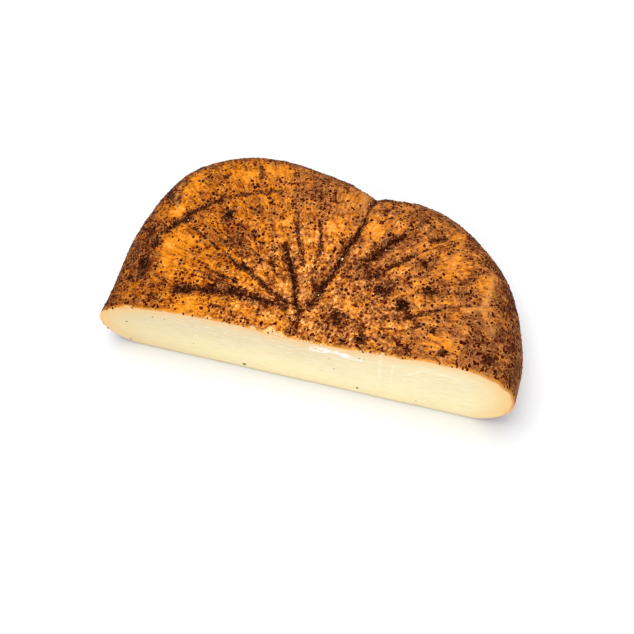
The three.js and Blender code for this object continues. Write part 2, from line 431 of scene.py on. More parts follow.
def search_tree(points, indexes):
    tree = kdtree.KDTree(len(indexes))
    for point, index in zip(points.tolist(), indexes.tolist()):
        tree.insert(point, index)
    tree.balance()
    return tree


on_paste = np.zeros(len(places), bool)
on_rind = np.zeros(len(places), bool)
for polygon, paste_side in zip(polygons, is_paste.tolist()):
    (on_paste if paste_side else on_rind)[list(polygon.vertices)] = True
cut_edge = np.flatnonzero(on_paste & on_rind)
edge_tree = search_tree(places[cut_edge], cut_edge)
from_edge = np.array([edge_tree.find(place)[2] for place in places.tolist()])
paint(cheese, "from_edge", from_edge)

# The rind broke away a little along the edge of the cut, and in a few places the pale paste shows there.
EDGE_BREAK = 0.9 * MM
BREAK_SPACING = 2.6 * MM
BREAK_LEVEL = 0.1  # the higher, the more of the edge is broken
BREAK_REACH = 1.6 * MM
UPPER_EDGE = (30 * MM, 50 * MM)  # heights where the breaks begin and are full
FOOT_HEIGHT = 0.4 * MM  # and the lowest edge crumbled inwards
FOOT_INSET = 1.1 * MM
DIP_REACH = 4 * MM
# Place across the cut, half length and depth of each dip, in millimetres
EDGE_DIPS = [
    (-23, 1.6, 1.6), (-11, 2.2, 1.8), (62, 4.5, 2), (69, 1.5, 1), (88, 3, 1), (-64, 4, 0.8), (22, 5, -0.8),
    (-38, 3, -1),
]
# Place across the cut, half length and reach back from the edge of each chip, in millimetres
EDGE_CHIPS = [
    (-29.5, 1.8, 2), (-19, 4, 4), (-12, 2.5, 2.5), (50.9, 1.2, 1.5), (-58, 2.5, 1.5), (-113, 5, 1.2),
    (8, 2, 1.2),
]
broken_off = np.clip(waver(places, BREAK_SPACING) + BREAK_LEVEL, 0, 1) * bell(from_edge, BREAK_REACH)
for across, half_length, depth in EDGE_DIPS:
    dip = depth * MM / EDGE_BREAK * bell(places[:, 0] - AXIS_X - across * MM, half_length * MM)
    broken_off += dip * bell(from_edge, DIP_REACH)
places[:, 2] -= EDGE_BREAK * broken_off * smooth_step(places[:, 2], *UPPER_EDGE)
at_foot = on_paste & (places[:, 2] < FOOT_HEIGHT)
places[at_foot, 1] += FOOT_INSET
move_vertices(cheese, places)
chips = np.zeros(len(places))
for across, half_length, reach in EDGE_CHIPS:
    chips = np.maximum(chips, reach * MM * bell(places[:, 0] - AXIS_X - across * MM, half_length * MM))
paint(cheese, "chips", chips)

# The cloth lay in folds that run out from the knot, so each corner is told its way and distance from it too.
KNOT_MIDDLE = 0.1 * MM
SHOULDER_SHARES = (0.84, 0.99)  # of the way out to the rim, where the shoulder begins and is full
WALL_FACING = (0.1, 0.75)  # how much a wall looks upwards, from a full wall to none
STEEP_FACING = (0.15, 0.75)
spots = places[:, :2] - [AXIS_X, cad_low[1]]
outward = spots - KNOT
distance = np.linalg.norm(outward, axis=1)
paint(cheese, "cloth", np.column_stack([outward / np.maximum(distance, KNOT_MIDDLE)[:, None], distance]))
angle = np.arctan2(outward[:, 1], outward[:, 0])
shoulder = smooth_step(distance / rim_radius(angle), *SHOULDER_SHARES)
wall = np.maximum(shoulder, 1 - smooth_step(normals[:, 2], *WALL_FACING))
steep = 1 - smooth_step(normals[:, 2], *STEEP_FACING)
paint(cheese, "steep", steep)

# The rub was wiped on by hand, so it lies in patches: place and half widths in millimetres, and strength.
# Here it lies thick.
RUB_BLOTCHES = [
    # broad stains
    (-120, 36, 14, 30, 0.78), (-116, 93, 8, 18, 0.95), (-100, 9, 16, 8, 0.6), (-62, 60, 24, 16, 0.7),
    (-45, 82, 18, 10, 0.62), (-16, 107, 12, 10, 0.62), (0, 45, 9, 14, 0.55), (15, 15, 14, 9, 0.65),
    (28, 113, 12, 8, 1.0), (38, 46, 20, 14, 0.68), (50, 101, 20, 9, 0.5), (60, 94, 26, 9, 0.58),
    (76, 50, 22, 10, 0.6), (104, 20, 13, 16, 0.74), (118, 28, 13, 26, 0.62),
    # on the left
    (-119, 22, 5, 4, 1.15), (-117, 59, 6, 8, 1.1), (-113, 32, 6, 13, 1.4), (-112, 86, 5, 8, 1.05),
    (-110, 48, 5, 7, 1.3), (-107, 82, 4, 6, 1.2), (-101, 9, 4, 4, 0.75), (-97.5, 5, 2.5, 2.5, 0.85),
    (-94, 66, 6, 4, 1.5), (-87, 99, 8, 4, 0.75), (-80, 17.5, 7, 5.5, 1.6), (-76.5, 103.5, 2.2, 2, 1.4),
    (-72, 37, 3, 3, 0.85), (-69, 91.5, 4, 2.5, 0.95), (-68, 24, 4, 2.5, 0.95), (-67, 56, 4, 4, 0.75),
    (-67, 73.5, 5, 4, 1.75), (-63, 63, 4, 3, 1.0), (-63, 78, 1.8, 1.8, 1.35), (-62, 54, 5, 4, 0.95),
    (-62, 92, 8, 3.5, 1.2), (-56.5, 10, 3.5, 2, 1.25), (-54, 107.5, 2.5, 2, 1.0), (-53, 56, 3, 4, 0.95),
    (-51, 28, 4, 2.5, 0.8), (-51, 48, 3, 3, 0.8), (-50, 96, 7, 3, 1.15), (-46, 65.5, 3, 3, 1.35),
    (-44, 24, 5, 2, 0.95), (-41.5, 90, 1.9, 1.7, 1.35), (-40, 20, 6, 4, 1.0), (-40, 99, 5, 3, 1.0),
    (-39, 58, 2.5, 2, 1.3), (-21, 76, 2, 3, 0.95), (-18, 105, 8, 7, 0.72), (-17.5, 6, 2, 2, 0.9),
    (-15.5, 19.5, 4, 3, 1.3), (-14, 116, 9, 5, 0.7), (-11, 102, 3, 4, 0.75), (-8, 81, 2, 3, 0.95),
    (-6, 9, 5, 6, 0.95),
    # on the right
    (9, 15, 6, 2.5, 0.9), (15, 93, 3, 6, 0.8), (16, 47, 2.5, 2.5, 0.85), (18, 19, 7, 6.5, 1.4),
    (23, 55, 7, 6, 0.9), (25.5, 3.5, 2.5, 2.2, 1.5), (26, 58, 6, 2.5, 1.4), (30, 57, 3, 2.5, 1.0),
    (31, 89.5, 1.9, 1.7, 1.35), (32.5, 100.5, 2.5, 2.5, 0.95), (33, 23, 2.5, 2, 0.85),
    (33, 51, 8, 7, 1.15), (35.5, 8, 4, 3.5, 1.9), (36, 51, 4, 4, 1.3), (38, 2, 1.8, 1.5, 1.4),
    (38, 33, 3, 3, 0.9), (42, 42, 6, 7, 1.6), (45, 53, 2, 2, 0.9), (46, 47, 5, 4, 1.05),
    (48.5, 23.5, 2, 1.6, 0.9), (49, 90, 3, 4, 0.75), (50.5, 105, 3, 3, 0.75), (54, 56, 2.5, 2, 0.85),
    (56, 34, 5.5, 5, 1.9), (59, 26.5, 4, 2, 0.95), (62.5, 63.5, 2.2, 2.2, 1.4), (64, 5.5, 4.5, 3, 1.25),
    (66, 24, 2, 2, 1.35), (66, 59, 5, 3, 0.75), (68, 2.5, 2.5, 2, 1.4), (68.5, 35.5, 1.9, 1.8, 1.4),
    (69, 20, 2.2, 2, 1.2), (70.5, 46.5, 6, 4, 1.45), (77, 19.5, 2.6, 2.4, 1.6), (86, 8, 4.5, 3.5, 1.4),
    (90, 48.5, 8, 6, 0.8), (90, 56, 5, 3, 0.75), (96, 81, 4, 3, 0.75), (106, 22, 3, 2.6, 1.35),
    (113, 10, 7, 7, 1.25), (115, 17, 5, 5, 0.85), (117, 5, 4, 4, 1.1),
]
# Here it wore off, and the rind is clear and light.
CLEAR_PATCHES = [
    (-103, 72, 6, 5, 1.3), (-98, 96, 9, 14, 0.8), (-96, 43, 9, 17, 1.0), (-86, 52, 7, 6, 0.9),
    (-81, 115, 8, 6, 0.7), (-78, 6, 24, 5, 0.9), (-70, 108, 14, 6, 0.7), (-45, 116, 10, 7, 1.0),
    (-42, 31, 8, 4, 0.6), (-37, 10, 6, 4, 0.7), (-30, 72, 9, 9, 0.5), (-20, 7, 10, 4, 0.6),
    (-10, 60, 3, 7, 0.7), (2, 68, 4, 7, 0.7), (5, 79, 8, 12, 0.9), (10, 105, 8, 8, 0.5),
    (11, 47, 2.5, 3, 0.8), (27, 68, 6, 5, 0.7), (28, 32, 11, 8, 0.6), (28, 82, 7, 9, 1.0),
    (42, 69, 5, 3, 0.7), (48, 52, 5, 4, 0.8), (60, 98, 5, 4, 0.6), (66, 40, 6, 4, 0.7),
    (68, 52, 4, 3, 0.6), (70, 28, 3, 3, 0.7), (80, 68, 12, 9, 0.6), (80, 92, 6, 4, 0.6),
    (84, 12, 10, 8, 0.9), (105, 60, 6, 11, 0.7),
]
# And here a brown bloom of fine dust lies over it.
DUSTY_PATCHES = [
    (-118, 36, 12, 28, 0.3), (-88, 99, 8, 4, 0.4), (-16, 109, 12, 9, 0.5), (36, 71, 7, 7, 0.4),
    (60, 104, 24, 8, 0.5), (70, 46, 6, 4, 0.25), (90, 48, 9, 6, 0.7), (108, 20, 16, 20, 0.9),
]
BLOTCH_SHARPNESS = 2
CLEAR_SHARPNESS = 3
DUST_SHARPNESS = 2
PATCH_WANDER = (1.8 * MM, 6 * MM)  # how far the patches stray, and over what length
PATCH_RAGGEDNESS = (2.4 * MM, 3 * MM)
strayed = wandering(spots, *CREASE_WANDER)
scattered = wandering(wandering(strayed, *PATCH_WANDER), *PATCH_RAGGEDNESS)


def patches(spots, listed, sharpness):
    """How strongly each spot lies in the listed oval patches, at full strength well inside them."""
    strength = np.zeros(len(spots))
    for x, y, across, along, full in listed:
        gap = np.hypot(*((spots - np.array([x, y]) * MM) / (np.array([across, along]) * MM)).T)
        strength = np.maximum(strength, full * np.exp(-(gap**sharpness)))
    return strength


def near_runs(spots, runs, spread=1):
    """How near each spot is to the nearest of the runs, which give a half width first and their way last."""
    near = np.zeros(len(spots))
    for half_width, *_, run in runs:
        near = np.maximum(near, bell(distance_to_run(spots, run), spread * half_width * MM))
    return near


# How thick the rub lies, from 0 where there is none to about 1 where it is packed
RUB_ALL_OVER = 0.46
RUB_ON_WALL = 0.4
# Less rub on the steep side is painted light, lightening it where less light falls
PAINTED_LIGHT_ON_STEEP = 0.16
OFF_KNOT = 0.1
KNOT_REACH = 45 * MM
OFF_LIPS = 0.2  # it was wiped off the raised lips beside the creases
LIP_REACH = 6 * MM
OFF_CLEAR = 0.48
RIDGE_CLEAR = 0.6
UNEVEN_SPACING = 9 * MM  # along the creases it lies wide and narrow by turns
UNEVEN_CHANGE = 0.7
UNEVEN_RANGE = (0.8, 1.3)
LOOSE_RUB = (0.96, 1.3)  # thickness, and width as a share of the crease's
CORE_RUB = (1.25, 0.75)
CORE_UNEVEN = 1.05

gaps = [distance_to_run(strayed, run) for *_, run in CREASES]
lips = np.zeros(len(places))
for (_, _, darkness, _), gap in zip(CREASES, gaps):
    lips = np.maximum(lips, darkness * bell(gap, LIP_REACH))
ridge = near_runs(strayed, RIDGES)
clear = np.maximum(patches(scattered, CLEAR_PATCHES, CLEAR_SHARPNESS), RIDGE_CLEAR * ridge)
rub = RUB_ALL_OVER + RUB_ON_WALL * wall - PAINTED_LIGHT_ON_STEEP * steep - OFF_KNOT * bell(distance, KNOT_REACH)
rub -= OFF_LIPS * lips
rub -= OFF_CLEAR * clear
rub = np.maximum(rub, patches(scattered, RUB_BLOTCHES, BLOTCH_SHARPNESS))
uneven = np.clip(1 + UNEVEN_CHANGE * waver(at_level(strayed, 2), UNEVEN_SPACING), *UNEVEN_RANGE)
for (half_width, _, darkness, _), gap in zip(CREASES, gaps):
    loose = LOOSE_RUB[0] * bell(gap, LOOSE_RUB[1] * half_width * uneven * MM)
    core = CORE_RUB[0] * np.minimum(uneven, CORE_UNEVEN) * bell(gap, CORE_RUB[1] * half_width * uneven * MM)
    rub = np.maximum(rub, darkness * np.maximum(loose, core))
paint(cheese, "rub", rub)
paint(cheese, "dust", patches(scattered, DUSTY_PATCHES, DUST_SHARPNESS))
paint(cheese, "clear", clear)
paint(cheese, "ridge", ridge)

DULL_FROM = (-75 * MM, -5 * MM)  # the rind is clearer and more orange to the left of this
LEAST_DULL = 0.25
paint(cheese, "dull", LEAST_DULL + (1 - LEAST_DULL) * smooth_step(spots[:, 0], *DULL_FROM))

# Fat that the wire smeared over the paste, painted white as a highlight: half width in millimetres, and
# the way across and up the cut
SMEARS_AND_HIGHLIGHTS = [
    (3.6, [(9, 56), (14, 57), (19, 57.5)]),
    (2.4, [(19, 58), (28, 57.5)]),
    (1.4, [(24, 55), (31, 53.5)]),
    (1.2, [(28, 57), (38, 53)]),
]
MARK_HIGHLIGHT_WIDTH = 0.8  # share of the wire marks' width that carries a painted highlight
upright = places[:, [0, 2]] - [AXIS_X, 0]
paint(cheese, "smear_and_highlight", near_runs(upright, SMEARS_AND_HIGHLIGHTS) * on_paste)
paint(cheese, "wire_mark_highlight", near_runs(upright, WIRE_MARKS, MARK_HIGHLIGHT_WIDTH) * on_paste)

SMOOTH_BELOW = math.radians(50)
polygons.foreach_set("material_index", is_paste.astype(np.int32))
bpy.ops.object.select_all(action="DESELECT")
cheese.select_set(True)
bpy.ops.object.shade_smooth_by_angle(angle=SMOOTH_BELOW)


def colour(red, green, blue):
    """A colour as seen on a screen, 0 to 255, as the linear colour that a shader takes."""
    seen = (red / 255, green / 255, blue / 255)
    return (*(c / 12.92 if c <= 0.04045 else ((c + 0.055) / 1.055) ** 2.4 for c in seen), 1)


def set_inputs(tree, node, values):
    """Sets a node's inputs to values, or joins them to other nodes' outputs."""
    for name, value in values.items():
        if isinstance(value, bpy.types.NodeSocket):
            tree.links.new(value, node.inputs[name])
        else:
            node.inputs[name].default_value = value


def add_node(tree, kind, values=None, **settings):
    node = tree.nodes.new(kind)
    for name, value in settings.items():
        setattr(node, name, value)
    set_inputs(tree, node, values or {})
    return node


def new_material(name):
    """A material with its node tree and shader, and the place of each point on its piece."""
    material = bpy.data.materials.new(name)
    material.use_nodes = True
    tree = material.node_tree
    where = add_node(tree, "ShaderNodeTexCoord").outputs["Object"]
    return material, tree, tree.nodes["Principled BSDF"], where


def painted(tree, name, output="Fac"):
    return add_node(tree, "ShaderNodeAttribute", attribute_name=name).outputs[output]


def stretched(tree, where, scale):
    return add_node(tree, "ShaderNodeMapping", {"Vector": where, "Scale": scale}).outputs["Vector"]


def clouds(tree, where, scale=1, detail=3, roughness=0.55):
    """Random clouds round a half, with about as many to the metre as the scale."""
    values = {"Vector": where, "Scale": scale, "Detail": detail, "Roughness": roughness}
    return add_node(tree, "ShaderNodeTexNoise", values).outputs["Fac"]


def ramp(tree, value, span, to=(0, 1)):
    """The value eased from one span to another."""
    values = {"Value": value, "From Min": span[0], "From Max": span[1], "To Min": to[0], "To Max": to[1]}
    return add_node(tree, "ShaderNodeMapRange", values, interpolation_type="SMOOTHSTEP").outputs["Result"]


def reckon(tree, operation, first, second, third=0):
    return add_node(tree, "ShaderNodeMath", {0: first, 1: second, 2: third}, operation=operation).outputs[0]


def add_waves(tree, value, waves, size):
    """The value raised and lowered by waves that lie round a half."""
    return reckon(tree, "MULTIPLY_ADD", waves, size, reckon(tree, "SUBTRACT", value, size / 2))


def mix(tree, share, first, second):
    """The first colour with a share of the second laid over it."""
    return add_node(tree, "ShaderNodeMix", {0: share, 6: first, 7: second}, data_type="RGBA").outputs[2]


def tint(tree, value, tones):
    """The colour for a value from a run of tones."""
    node = add_node(tree, "ShaderNodeValToRGB", {"Fac": value})
    steps = node.color_ramp.elements
    for index, (at, tone) in enumerate(tones):
        step = steps[index] if index < 2 else steps.new(at)
        step.position = at
        step.color = tone
    return node.outputs["Color"]


def bumps(tree, relief, strength, height):
    values = {"Strength": strength, "Distance": height, "Height": relief}
    return add_node(tree, "ShaderNodeBump", values).outputs["Normal"]


SPECK_JITTER = 1.7  # scale of the jitter that keeps the specks from being round, as a share of theirs
SPECK_BEND = (0.7, 0.7, 0.7)
SPECK_SIZES = (0.5, 0.7)  # the smallest, and how much larger they get
SPECK_CORE = 0.7
# Outer size of the pale ring round each speck, which is a painted glint
GLINT_RING = 1.45


def speckle_group():
    """Specks of many sizes, strewn at random, each with a ring round it for a painted glint, and a tone of
    its own.
    """
    tree = bpy.data.node_groups.new("speckle", "ShaderNodeTree")
    for name, kind in (("Vector", "Vector"), ("Scale", "Float"), ("Density", "Float"), ("Size", "Float")):
        tree.interface.new_socket(name, in_out="INPUT", socket_type=f"NodeSocket{kind}")
    for name in ("Speck", "Glint", "Tone"):
        tree.interface.new_socket(name, in_out="OUTPUT", socket_type="NodeSocketFloat")
    where, scale, density, size = tree.nodes.new("NodeGroupInput").outputs[:4]

    jitter = {"Vector": where, "Scale": reckon(tree, "MULTIPLY", scale, SPECK_JITTER), "Detail": 2}
    jitter = add_node(tree, "ShaderNodeTexNoise", jitter).outputs["Color"]
    scaled = add_node(tree, "ShaderNodeVectorMath", {0: where, "Scale": scale}, operation="SCALE").outputs[0]
    bent = {0: jitter, 1: SPECK_BEND, 2: scaled}
    bent = add_node(tree, "ShaderNodeVectorMath", bent, operation="MULTIPLY_ADD").outputs[0]
    cells = add_node(tree, "ShaderNodeTexVoronoi", {"Vector": bent, "Scale": 1}).outputs
    chance = add_node(tree, "ShaderNodeSeparateColor", {0: cells["Color"]}).outputs
    there = reckon(tree, "LESS_THAN", chance[0], density)
    smallest, larger = SPECK_SIZES
    size = reckon(tree, "MULTIPLY", size, reckon(tree, "MULTIPLY_ADD", chance[1], larger, smallest))
    dot = ramp(tree, cells["Distance"], (size, reckon(tree, "MULTIPLY", size, SPECK_CORE)))
    glint_ring = ramp(tree, cells["Distance"], (reckon(tree, "MULTIPLY", size, GLINT_RING), size))

    puts_out = {
        "Speck": reckon(tree, "MULTIPLY", there, dot),
        "Glint": reckon(tree, "MULTIPLY", there, glint_ring),
        "Tone": chance[2],
    }
    add_node(tree, "NodeGroupOutput", puts_out)
    return tree


# The rind from where the rub is thickest to where it is bare, with the lightness of each tone
RIND_TONES = [
    (0.1, colour(50, 10, 0)),
    (0.2, colour(84, 24, 0)),
    (0.3, colour(126, 54, 6)),
    (0.41, colour(164, 86, 16)),
    (0.53, colour(203, 117, 20)),
    (0.65, colour(235, 142, 26)),
    (0.75, colour(252, 171, 66)),
    (0.88, colour(254, 208, 134)),
]
# The same where the rind is dull
DULL_TONES = [
    (0.1, colour(44, 10, 0)),
    (0.2, colour(78, 26, 2)),
    (0.3, colour(116, 57, 22)),
    (0.41, colour(150, 87, 42)),
    (0.53, colour(192, 119, 63)),
    (0.65, colour(227, 148, 81)),
    (0.75, colour(249, 181, 116)),
    (0.88, colour(254, 216, 176)),
]
RIND_CLEAR = colour(240, 140, 28)
RIND_GLINT = colour(246, 178, 96)
RIDGE_HIGHLIGHT = colour(216, 147, 76)
# Dust on the steep side, lightened there as painted sheen and painted light
DUST_AND_SHEEN = colour(158, 102, 56)
CREASE_DUST = colour(124, 76, 48)
RUB_RED = colour(92, 26, 2)
RUB_BLACK = colour(62, 10, 0)
# The rub itself, from a thin dusting to where it is packed thick
PACKED_TONES = [
    (0.3, colour(118, 68, 42)),
    (0.5, colour(86, 41, 19)),
    (0.68, colour(53, 17, 5)),
    (0.85, colour(32, 8, 2)),
]
RIND_EDGE = colour(238, 160, 62)
EDGE_PASTE = colour(244, 200, 132)

CLOTH_FOLDS = (30, 30, 28)  # how close the cloth's folds lie round the knot, both ways, and outwards
CLOTH_THREADS = (80, 80, 190)
MOTTLING = 1.6  # how unevenly the rub was wiped on, in small spots and in broad stains
STAINING = 0.6
SPECK_SCALE = 385
SPECK_SIZE = 0.54
GLINT_RING_SHARE = 0.36
BARE_LIGHT = 0.6  # lightness of the rind without rub, and how much the rub darkens it
RUB_DARKENS = -0.36
LIGHT_CHANGE = 0.87
DULL_CHANGE = 4
PACKED_SHARE = 0.55
PACKED_CHANGE = 1.2
EDGE_RAGGEDNESS = 4 * MM
CHIP_START = 1.8 * MM
MATTE = 0.01  # powder has next to no shine
RIND_BUMPS = (0.6, 0.6 * MM)  # strength and height


def rind_material():
    """Orange where the rind is bare, darker the thicker the rub lies, with specks, and chips at the cut."""
    material, tree, shader, where = new_material("rubbed rind")
    cloth = painted(tree, "cloth", "Vector")
    from_knot = add_node(tree, "ShaderNodeSeparateXYZ", {0: cloth}).outputs["Z"]
    fibre = clouds(tree, stretched(tree, cloth, CLOTH_FOLDS))
    weave = clouds(tree, stretched(tree, cloth, CLOTH_THREADS), detail=2)
    broad = clouds(tree, where, scale=38)
    mottle = clouds(tree, where, scale=125, detail=5, roughness=0.6)
    texture = clouds(tree, where, scale=220, detail=3, roughness=0.9)
    bloom = clouds(tree, where, scale=330, detail=5, roughness=0.68)
    ragged = clouds(tree, where, scale=420, detail=4, roughness=0.6)
    grain = clouds(tree, where, scale=540, detail=4, roughness=0.62)
    woven = ramp(tree, from_knot, (55 * MM, 90 * MM), (0, 0.7))
    fine = add_node(tree, "ShaderNodeMix", {0: woven, 2: grain, 3: weave}).outputs[0]

    # How thick the rub lies: as painted, but mottled, and streaked along the folds of the cloth
    streaky = ramp(tree, from_knot, (15 * MM, 60 * MM), (0.2, 1.1))
    streaks = reckon(tree, "MULTIPLY", reckon(tree, "SUBTRACT", fibre, 0.5), streaky)
    thick = add_waves(tree, painted(tree, "rub"), mottle, MOTTLING)
    thick = reckon(tree, "ADD", add_waves(tree, thick, broad, STAINING), streaks)

    # The rind's own tone, more orange or more dull, and lighter where there is less rub
    lively = ramp(tree, from_knot, (30 * MM, 80 * MM), (1.55, 1))
    change = reckon(tree, "ADD", texture, reckon(tree, "SUBTRACT", fine, 1))
    change = reckon(tree, "MULTIPLY", change, lively)
    light = reckon(tree, "MULTIPLY_ADD", thick, RUB_DARKENS, BARE_LIGHT)
    light = reckon(tree, "MULTIPLY_ADD", change, LIGHT_CHANGE, light)
    dull = add_waves(tree, painted(tree, "dull"), bloom, DULL_CHANGE)
    dull = reckon(tree, "MULTIPLY", dull, ramp(tree, thick, (0.1, 0.8), (0.4, 1.2)))
    skin = mix(tree, ramp(tree, dull, (0, 1)), tint(tree, light, RIND_TONES), tint(tree, light, DULL_TONES))
    clear = reckon(tree, "MULTIPLY", painted(tree, "clear"), ramp(tree, light, (0.4, 0.6), (0, 0.5)))
    skin = mix(tree, clear, skin, RIND_CLEAR)

    # Dust with painted sheen and painted light on the steep side, and fine dust in dusty patches and where
    # the rub is thick
    steep = painted(tree, "steep")
    dust_and_sheen = reckon(tree, "MULTIPLY", steep, ramp(tree, mottle, (0.35, 0.6), (0.4, 0.85)))
    skin = mix(tree, dust_and_sheen, skin, DUST_AND_SHEEN)
    bloomed = reckon(tree, "MULTIPLY", painted(tree, "dust"), ramp(tree, mottle, (0.3, 0.65), (0.2, 0.9)))
    bloomed = reckon(tree, "MAXIMUM", bloomed, ramp(tree, thick, (0.7, 1.1), (0, 0.45)))
    skin = mix(tree, bloomed, skin, CREASE_DUST)

    # The rub on it: loose specks in pale rings of painted glint, and grit that closes up where it is packed
    density = reckon(tree, "MULTIPLY", thick, ramp(tree, steep, (0.2, 0.9), (0.98, 0.3)))
    coarse = {"Vector": where, "Scale": SPECK_SCALE, "Density": density, "Size": SPECK_SIZE}
    coarse = add_node(tree, "ShaderNodeGroup", coarse, node_tree=speckle_group()).outputs
    packed = add_waves(tree, reckon(tree, "MULTIPLY", thick, PACKED_SHARE), bloom, PACKED_CHANGE)
    packed = tint(tree, packed, PACKED_TONES)
    speck = mix(tree, ramp(tree, coarse["Tone"], (0.3, 0.8)), RUB_BLACK, RUB_RED)
    speck = mix(tree, ramp(tree, thick, (0.7, 1.05)), speck, packed)
    # The pale ring round each speck is a painted glint of the oiled rind
    skin = mix(tree, reckon(tree, "MULTIPLY", coarse["Glint"], GLINT_RING_SHARE), skin, RIND_GLINT)
    skin = mix(tree, coarse["Speck"], skin, speck)
    cover = ramp(tree, thick, (0.5, 1.1), (0, 0.66))
    cover = reckon(tree, "ADD", cover, ramp(tree, thick, (0.9, 1.4), (0, 0.2)))
    grit = reckon(tree, "SUBTRACT", cover, ramp(tree, grain, (0.32, 0.66)))
    skin = mix(tree, ramp(tree, grit, (-0.05, 0.06), (0, 0.95)), skin, packed)

    # Bare rind along the cut, chips down to the paste, and the ridges that the rub missed, with a painted
    # highlight
    edge_gap = reckon(tree, "MULTIPLY_ADD", ragged, -EDGE_RAGGEDNESS, painted(tree, "from_edge"))
    skin = mix(tree, ramp(tree, edge_gap, (0.2 * MM, -2 * MM), (0, 0.75)), skin, RIND_EDGE)
    chips = painted(tree, "chips")
    chip_gap = reckon(tree, "SUBTRACT", reckon(tree, "ADD", edge_gap, CHIP_START), chips)
    bare = ramp(tree, chip_gap, (1.2 * MM, -1.6 * MM), (0, 0.95))
    bare = reckon(tree, "MULTIPLY", bare, reckon(tree, "SUBTRACT", 1, coarse["Speck"]))
    bare = reckon(tree, "MULTIPLY", bare, ramp(tree, chips, (0.3 * MM, 1 * MM)))
    skin = mix(tree, bare, skin, EDGE_PASTE)
    # The pale tan on the ridges is partly a painted highlight
    ridge = reckon(tree, "MULTIPLY", painted(tree, "ridge"), ramp(tree, bloom, (0.3, 0.6), (0.35, 0.75)))
    skin = mix(tree, ridge, skin, RIDGE_HIGHLIGHT)

    relief = 0
    for pattern, height in ((mottle, 0.8), (fine, 0.8), (fibre, 0.3), (coarse["Speck"], 0.7)):
        relief = reckon(tree, "MULTIPLY_ADD", pattern, height, relief)
    finish = {
        "Base Color": skin,
        "Roughness": ramp(tree, fine, (0.25, 0.75), (0.42, 0.66)),
        "Specular IOR Level": MATTE,
        "Normal": bumps(tree, relief, *RIND_BUMPS),
    }
    set_inputs(tree, shader, finish)
    return material


CREAM_LOW = colour(254, 237, 184)
CREAM_SHADED = colour(233, 212, 170)
CREAM_PALE = colour(255, 244, 210)
CREAM_DULL = colour(226, 208, 166)
PASTE_AMBER = colour(246, 190, 106)
PASTE_END = colour(250, 212, 138)
PASTE_SHADED_LEFT = colour(222, 200, 146)
PASTE_LINE = colour(216, 130, 40)
PASTE_CONTACT_SHADOW = colour(190, 168, 126)
SMEAR_HIGHLIGHT = colour(255, 253, 248)

DRAG_STREAKS = (150, 150, 800)  # how close the wire's streaks lie across the cut, into it, and up it
UNEVEN_RISE = 30 * MM
STAIN_RAGGEDNESS = 4 * MM
SMEAR_BREAKS = 0.6
WET_SHINE = -0.25
DRAG_HEIGHT = 0.8  # of the streaks, as a share of the curd's grain
PASTE_BUMPS = (0.5, 0.5 * MM)  # strength and height


